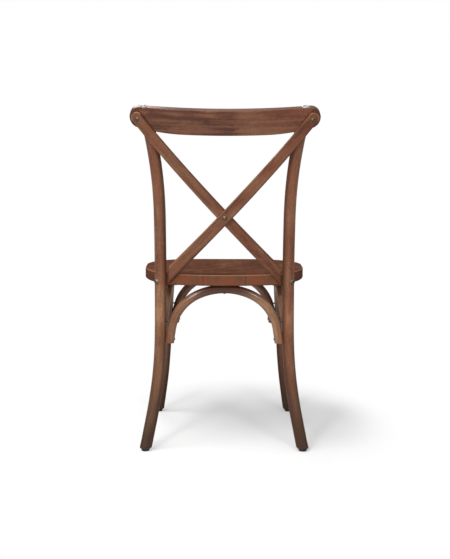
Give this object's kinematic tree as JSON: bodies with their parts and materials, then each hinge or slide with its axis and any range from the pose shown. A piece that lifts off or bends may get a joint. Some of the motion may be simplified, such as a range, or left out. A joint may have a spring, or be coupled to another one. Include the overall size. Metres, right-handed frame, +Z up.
{
  "type": "cross back chair",
  "caption": "Armless bent wood dining chair with a curved crest rail, crossed back slats, a shaped plank seat and bent arches between splayed round legs.",
  "frame": {"origin": "on the floor under the middle of the chair's bounding box", "axes": "+Z up; -Y is where the sitter faces, so the back is at +Y; +X is the sitter's left"},
  "size_m": [0.478, 0.5203, 0.8905],
  "materials": {
    "seat_wood": "satin walnut-brown stain and lacquer",
    "frame_wood": "satin walnut-brown stain and lacquer",
    "back_wood": "satin walnut-brown stain and lacquer",
    "dowel_wood": "raw",
    "bumper_clear": "clear, glossy",
    "glide_plastic": "matte black",
    "bracket_steel": "yellow zinc plated",
    "bolt_steel": "bronze plated",
    "screw_steel": "blackened"
  },
  "bodies": {
    "root": {"arch_crown_screws": "screw_steel", "arch_end_screws": "screw_steel", "arch_front": "frame_wood", "arch_left": "frame_wood", "arch_rear": "frame_wood", "arch_right": "frame_wood", "barrel_nut_left": "bolt_steel", "barrel_nut_right": "bolt_steel", "bracket_screws": "screw_steel", "corner_bracket_front_left": "bracket_steel", "corner_bracket_front_right": "bracket_steel", "corner_bracket_rear_left": "bracket_steel", "corner_bracket_rear_right": "bracket_steel", "crest_bumper_left": "bumper_clear", "crest_bumper_right": "bumper_clear", "crest_rail": "back_wood", "cross_bolt": "bolt_steel", "cross_cap_nut": "bolt_steel", "cross_slat_inner": "back_wood", "cross_slat_outer": "back_wood", "foot_glide_front_left": "glide_plastic", "foot_glide_front_right": "glide_plastic", "foot_glide_rear_left": "glide_plastic", "foot_glide_rear_right": "glide_plastic", "front_leg_left": "frame_wood", "front_leg_right": "frame_wood", "glide_nails": "screw_steel", "rear_post_left": "frame_wood", "rear_post_right": "frame_wood", "seat_board_centre": "seat_wood", "seat_board_left_inner": "seat_wood", "seat_board_left_outer": "seat_wood", "seat_board_right_inner": "seat_wood", "seat_board_right_outer": "seat_wood", "seat_bolt_left": "bolt_steel", "seat_bolt_right": "bolt_steel", "slat_dowels": "dowel_wood", "slat_top_screws": "screw_steel"}
  },
  "joints": []
}
